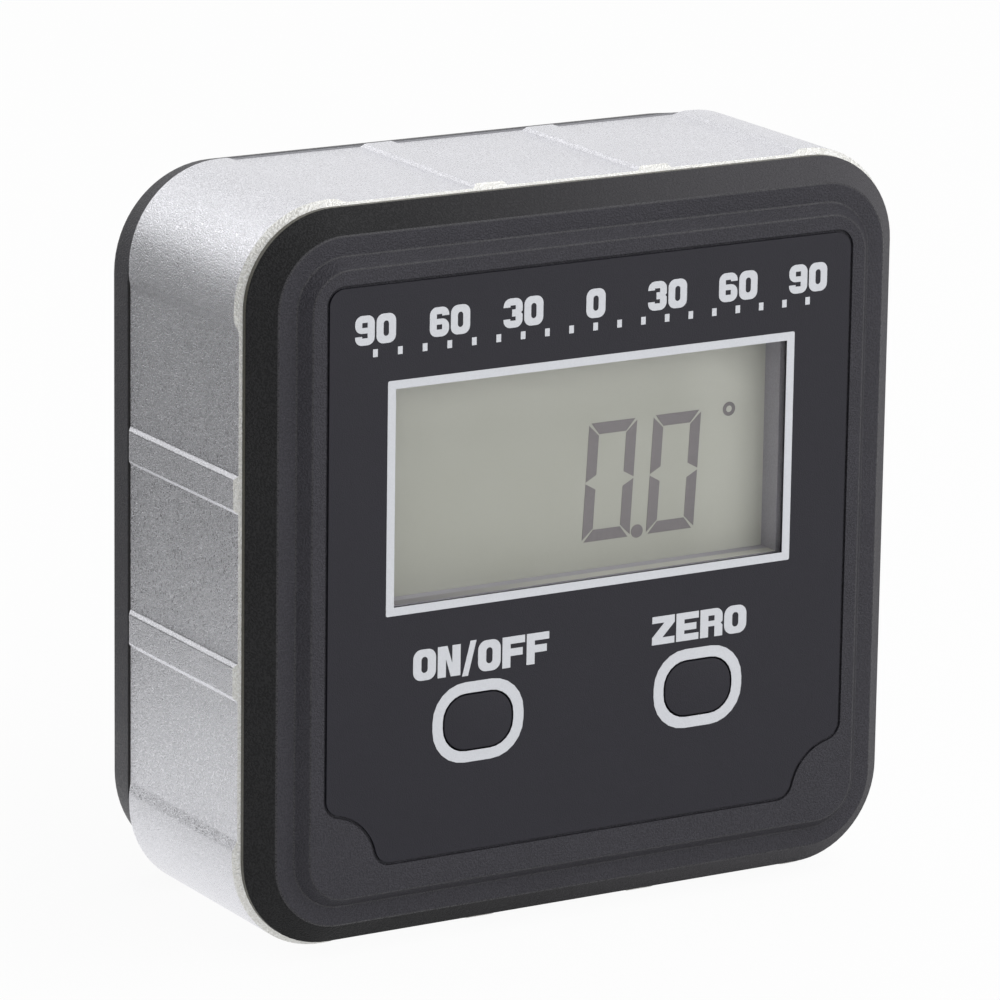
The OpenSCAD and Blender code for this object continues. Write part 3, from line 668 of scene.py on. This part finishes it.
# %% Letters and figures
def glyph(sign, w, h, t, b):
    """Outlines of a heavy narrow sign: w wide, h high, with stems of t and bars of b."""
    soft, tight = 0.36 * w, 0.4 * t
    nought = [[(0, 0, soft), (w, 0, soft), (w, h, soft), (0, h, soft)],
              [(t, b, tight), (w - t, b, tight), (w - t, h - b, tight), (t, h - b, tight)]]
    arms = [(0, 0), (0, h), (w, h), (w, h - b), (t, h - b), (t, 0.61 * h), (0.9 * w, 0.61 * h),
            (0.9 * w, 0.61 * h - b), (t, 0.61 * h - b)]
    six = [[(w, 0.70 * h), (w - t, 0.70 * h), (w - t, h - b), (t, h - b), (t, 0.60 * h),
            (w, 0.60 * h, soft), (w, 0, soft), (0, 0, soft), (0, h, soft), (w, h, soft)],
           [(t, b), (w - t, b), (w - t, 0.60 * h - 0.8 * b), (t, 0.60 * h - 0.8 * b)]]
    shapes = {
        "O": nought,
        "0": nought,
        "N": [[(0, 0), (0, h), (0.42 * w, h), (w - t, 0.42 * h), (w - t, h), (w, h), (w, 0),
               (0.58 * w, 0), (t, 0.58 * h), (t, 0)]],
        "/": [[(0, -0.06 * h), (0.42 * w, -0.06 * h), (w, 1.06 * h), (0.58 * w, 1.06 * h)]],
        "F": [arms + [(t, 0)]],
        "E": [arms + [(t, b), (w, b), (w, 0)]],
        "Z": [[(0, h), (w, h), (w, 0.74 * h), (0.46 * w, b), (w, b), (w, 0), (0, 0), (0, 0.26 * h),
               (0.54 * w, h - b), (0, h - b)]],
        "R": [[(0, 0), (0, h), (w, h, 0.3 * w), (w, 0.52 * h), (0.92 * w, 0.46 * h), (w, 0.38 * h),
               (w, 0), (w - t, 0), (w - t, 0.38 * h), (t, 0.38 * h), (t, 0)],
              [(t, 0.57 * h), (w - t, 0.57 * h), (w - t, h - b), (t, h - b)]],
        "6": six,
        "9": [[(w - x, h - y, *r) for x, y, *r in part] for part in six],
        "3": [[(0, 0.70 * h), (0, h, soft), (w, h, soft), (w, 0.56 * h), (0.92 * w, 0.5 * h),
               (w, 0.44 * h), (w, 0, soft), (0, 0, soft), (0, 0.30 * h), (t, 0.30 * h), (t, b),
               (w - t, b), (w - t, 0.5 * h - b / 2), (0.45 * w, 0.5 * h - b / 2),
               (0.45 * w, 0.5 * h + b / 2), (w - t, 0.5 * h + b / 2), (w - t, h - b), (t, h - b),
               (t, 0.70 * h)]],
    }
    return shapes[sign]


LETTER_GAP = 0.16
SLASH_SHARE, STEM_SHARE, BAR_SHARE = 0.62, 0.36, 0.24


def lettering(words, centre, baseline, height, width):
    """Outlines of a word that fills a given width."""
    weights = [SLASH_SHARE if sign == "/" else 1.0 for sign in words]
    unit = (width - LETTER_GAP * (len(words) - 1)) / sum(weights)
    outlines, x = [], centre - width / 2
    for sign, weight in zip(words, weights):
        for part in glyph(sign, unit * weight, height, STEM_SHARE * unit, BAR_SHARE * height):
            outlines.append([(x + p[0], baseline + p[1], *p[2:]) for p in part])
        x += unit * weight + LETTER_GAP
    return outlines


# %% Print on the film
INK_T, INK_SUNK = 0.03, 0.005
INK_Y = FACE_Y - INK_T / 2 + INK_SUNK
WINDOW_W, WINDOW_H, WINDOW_UP = 35.9, 17.5, 6.7
KEY_ASIDE, KEY_UP = 10.2, -12.25
SCALE = ("90", "60", "30", "0", "30", "60", "90")
SCALE_PITCH, SCALE_UP, SCALE_H, FIGURE_W = 6.6, 19.2, 2.35, 1.85

outlines = [box_outline(WINDOW_W + 1.4, WINDOW_H + 1.36, 0.15, 0, WINDOW_UP),
            box_outline(WINDOW_W, WINDOW_H, 0, 0, WINDOW_UP)]
for x in (-KEY_ASIDE, KEY_ASIDE):
    outlines.append(box_outline(8.3, 6.57, 2.95, x, KEY_UP))
    outlines.append(box_outline(6.45, 4.75, 2.1, x, KEY_UP))
outlines += lettering("ON/OFF", centre=-9.97, baseline=-8.3, height=2.53, width=12.37)
outlines += lettering("ZERO", centre=10.25, baseline=-8.25, height=2.34, width=8.9)
for k, number in enumerate(SCALE):
    outlines += lettering(number, (k - len(SCALE) // 2) * SCALE_PITCH, SCALE_UP, SCALE_H,
                          FIGURE_W * len(number) - 0.1)
ink = flat_print("print", outlines, INK_T)
piece("white_print", on_plane(ink, INK_Y), [INK], "housing", "printed_film")

# %% [markdown]
# ## Scale strokes
# The strokes under the figures repeat at one pitch. They could be copied in a Python loop, but
# what repeats is work for Geometry Nodes: a line of points, one small bar on each, made real and
# given its material. Its sizes are named inputs.


# %% Tree helpers
def tree_with(name, inputs):
    """A new geometry tree with named inputs. Gives the tree and the sockets of its inputs."""
    tree = bpy.data.node_groups.new(name, "GeometryNodeTree")
    tree.interface.new_socket("Geometry", in_out="OUTPUT", socket_type="NodeSocketGeometry")
    for label, kind in inputs.items():
        tree.interface.new_socket(label, in_out="INPUT", socket_type=kind)
    return tree, tree.nodes.new("NodeGroupInput").outputs


def add(tree, kind, settings=None, values=None):
    """Adds a node, with its settings and the values or links of its sockets."""
    made = tree.nodes.new(kind)
    for key, value in (settings or {}).items():
        setattr(made, key, value)
    for key, value in (values or {}).items():
        if isinstance(value, bpy.types.NodeSocket):
            tree.links.new(value, made.inputs[key])
        else:
            made.inputs[key].default_value = value
    return made.outputs


def finish_tree(tree, geometry, material):
    """Makes instances real, gives them a material and closes the tree."""
    real = add(tree, "GeometryNodeRealizeInstances", {}, {"Geometry": geometry})
    dressed = add(tree, "GeometryNodeSetMaterial", {},
                  {"Geometry": real["Geometry"], "Material": material})
    add(tree, "NodeGroupOutput", {}, {"Geometry": dressed["Geometry"]})


def grown(tree, values):
    """Runs a tree with these values for its named inputs, and gives the mesh."""
    holder = bpy.data.objects.new(tree.name, bpy.data.meshes.new(tree.name))
    scene.collection.objects.link(holder)
    modifier = holder.modifiers.new("grow", "NODES")
    modifier.node_group = tree
    for item in tree.interface.items_tree:
        if item.in_out == "INPUT":
            modifier[item.identifier] = values[item.name]
    return evaluated(holder)


# %% Scale strokes
STROKES, STROKE_PITCH, STROKES_UP = 19, 2.2, 18.5
STROKE_W, STROKE_H = 0.42, 0.62

tree, given = tree_with("strokes", {"Count": "NodeSocketInt", "Start": "NodeSocketVector",
                                    "Step": "NodeSocketVector", "Bar": "NodeSocketVector"})
line = add(tree, "GeometryNodeMeshLine", {"mode": "OFFSET"},
           {"Count": given["Count"], "Start Location": given["Start"], "Offset": given["Step"]})
bar = add(tree, "GeometryNodeMeshCube", {}, {"Size": given["Bar"]})
row = add(tree, "GeometryNodeInstanceOnPoints", {},
          {"Points": line["Mesh"], "Instance": bar["Mesh"]})
finish_tree(tree, row["Instances"], INK)
first_x = -STROKE_PITCH * (STROKES - 1) / 2
strokes = grown(tree, {"Count": STROKES, "Start": (first_x, INK_Y, MIDDLE_Z + STROKES_UP),
                       "Step": (STROKE_PITCH, 0, 0), "Bar": (STROKE_W, INK_T, STROKE_H)})
piece("scale_strokes", strokes, [INK], "housing", "printed_film")

# %% [markdown]
# ## Display
# The figure is built from bars with mitred ends, leaning slightly to the right. A nought lights
# all bars but the middle one. An emissive texture could show it too, but bars of their own stay
# sharp from near by. They lie on the display glass, well behind the pane.

# %% Display figure
W, H, BAR, CLEAR = 4.45, 9.7, 0.95, 0.12
LEAN = math.tan(math.radians(3.2))
DIGITS_X = (1.15, 7.15)
POINT_X, POINT_UP, POINT_W = 6.3, 0.35, 1.1
DEGREE_X, DEGREE_UP, DEGREE_W, DEGREE_HOLE = 14.78, 9.45, 1.16, 0.54
FIGURE_T = 0.03

end, inner = CLEAR * 1.5, BAR + CLEAR * 0.2
waist = H / 2 - CLEAR * 0.6
upright = [(0, end), (0, waist), (BAR, waist - 0.55 * BAR), (BAR, BAR + CLEAR)]
nought = [[(end, H), (W - end, H), (W - inner, H - BAR), (inner, H - BAR)],
          [(end, 0), (inner, BAR), (W - inner, BAR), (W - end, 0)]]
for mirror_x in (False, True):
    for mirror_y in (False, True):
        nought.append([(W - x if mirror_x else x, H - y if mirror_y else y) for x, y in upright])

lit_bars = [[(start + x + y * LEAN, y) for x, y in bar] for start in DIGITS_X for bar in nought]
lit_bars.append(box_outline(POINT_W, POINT_W, 0.545, POINT_X, POINT_UP))
lit_bars.append(box_outline(DEGREE_W, DEGREE_W, 0.575, DEGREE_X, DEGREE_UP))
lit_bars.append(box_outline(DEGREE_HOLE, DEGREE_HOLE, 0.265, DEGREE_X, DEGREE_UP))
marks = flat_print("figure", lit_bars, FIGURE_T)
marks_y = span("display_glass")[0].y - FIGURE_T / 2 + INK_SUNK
piece("display_figure", on_plane(marks, marks_y), [FIGURE], "housing", "display_grey")

# %% [markdown]
# ## Back cover, door, screws and magnets
# Cover and door are moulded in the same grained black, with small bevels on their edges. The
# cover's front rim shows as a thin line behind the frame, pale at the top, where light falls on
# it. A lamp for that one line would spoil others, so the rim carries a painted highlight that grows
# with height.

# %% Back cover and door
RIM_MM = 0.2
# The rim's colour is a painted highlight, pale at its top.
RIM_HIGHLIGHT = fading_plastic("cover_rim_painted_highlight", "Z", 58.0, 59.0, shade(46, 46, 48), shade(150, 150, 156))


def cover_finish(centre, normal):
    return RIM_HIGHLIGHT if normal.y < -0.6 and centre.y < FRAME_BACK_Y + RIM_MM else BLACK


cover = painted(bevelled("back_cover", 0.08, 25), [BLACK, RIM_HIGHLIGHT], cover_finish)
piece("cover", cover, [BLACK, RIM_HIGHLIGHT], "housing", "black_plastic", "back_cover")
piece("door", bevelled("battery_door", 0.08, 25), [BLACK], "door", "black_plastic", "battery_door")

# %% Screws and magnets
piece("screws", bevelled("cover_screws", 0.08, 40), [NICKEL], "housing", "plated_steel",
      "cover_screws")
for place in ("left", "middle", "right"):
    node = place + "_magnet"
    piece(place + "_disc", bevelled(node, 0.15, 40), [MAGNET], "housing", "magnet_plate", node)

# %% [markdown]
# ## Battery bay
# It shows when the door is out. A cell is a steel can in a printed sleeve: bare metal at both ends,
# a light band at the positive end. The sleeve could be a tube of its own, but it is thinner than
# a hair, so a finish on the same mesh is enough.

# %% Cells
BAND_MM, TIP_MM, TAIL_MM = 11.0, 1.3, 0.5


def sleeve(name, x_band, towards):
    """A blue sleeve with a light band from x_band to the end that it points towards."""
    f = Finish(name)
    x = f.node("ShaderNodeSeparateXYZ", {}, {0: f.place()}, out="X")
    band = (x * towards) > (x_band * towards * MM)
    scuff = f.noise(1.5, 3.0)
    body = f.blend(scuff, shade(38, 66, 112), shade(50, 82, 132))
    return f.skin(Base_Color=f.blend(band, body, shade(196, 170, 96)), Metallic=0.3,
                  Roughness=0.28 + scuff * 0.1)


for node, towards in (("upper_cell", 1), ("lower_cell", -1)):
    low, high = span(node)
    tip, tail = (high.x, low.x) if towards > 0 else (low.x, high.x)
    wrap = [sleeve(node, tip - towards * BAND_MM, towards), NICKEL]

    def cell_finish(centre, normal):
        return wrap[abs(centre.x - tip) < TIP_MM or abs(centre.x - tail) < TAIL_MM]

    piece(node + "_sleeve", painted(bevelled(node, 0.15, 25), wrap, cell_finish), wrap,
          "housing", "cell_wrap", node)

# %% [markdown]
# ## Coil springs
# A conical coil follows a spiral, so Geometry Nodes sweep a round wire along one. The Screw
# modifier could make one too, but only with a constant radius. The solid model's coil gives its
# box, and the new one fills the same room.

# %% Coil springs
WIRE_R, TURNS, TIP_R, PLAY = 0.3, 3.0, 1.9, 0.05

tree, given = tree_with("coil", {label: "NodeSocketFloat"
                                 for label in ("Turns", "Base", "Tip", "Height", "Wire")})
spiral = add(tree, "GeometryNodeCurveSpiral", {},
             {"Resolution": 40, "Rotations": given["Turns"], "Start Radius": given["Base"],
              "End Radius": given["Tip"], "Height": given["Height"]})
wire = add(tree, "GeometryNodeCurvePrimitiveCircle", {},
           {"Resolution": 12, "Radius": given["Wire"]})
swept = add(tree, "GeometryNodeCurveToMesh", {},
            {"Curve": spiral["Curve"], "Profile Curve": wire["Curve"], "Fill Caps": True})
smooth = add(tree, "GeometryNodeSetShadeSmooth", {}, {"Geometry": swept["Mesh"]})
finish_tree(tree, smooth["Geometry"], NICKEL)
for node, towards in (("upper_spring", 1), ("lower_spring", -1)):
    low, high = span(node)
    coil = grown(tree, {"Turns": TURNS, "Base": (high.z - low.z) / 2 - WIRE_R - PLAY, "Tip": TIP_R,
                        "Height": high.x - low.x - 2 * WIRE_R, "Wire": WIRE_R})
    start = low.x + WIRE_R if towards > 0 else high.x - WIRE_R
    middle = (low + high) / 2
    lying = Matrix.Rotation(towards * math.pi / 2, 4, "Y")
    coil.transform(Matrix.Translation((start, middle.y, middle.z)) @ lying)
    piece(node + "_coil", coil, [NICKEL], "housing", "plated_steel", node)

# %% [markdown]
# ## What stays as it is
# Pieces deep inside, the pane and the display keep their solids, with finishes of their own. A
# copy with broken edges would not show there.

# %% Finishes for the inner pieces
INNER = {
    "display_window": PANE, "display_glass": DISPLAY, "display_holder": HOLDER,
    "contact_strip": RUBBER, "foam_strip": FOAM, "circuit_board": BOARD, "board_screws": NICKEL,
    "processor": CHIP, "tilt_sensor": CHIP, "timing_crystal": NICKEL, "on_off_switch": CHIP,
    "zero_switch": CHIP, "on_off_plunger": PLUNGER, "zero_plunger": PLUNGER,
    "link_contact": NICKEL, "positive_contact": NICKEL, "negative_contact": NICKEL,
}
for node, material in INNER.items():
    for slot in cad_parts[node].material_slots:
        slot.material = material
print("inner pieces:", len(INNER))
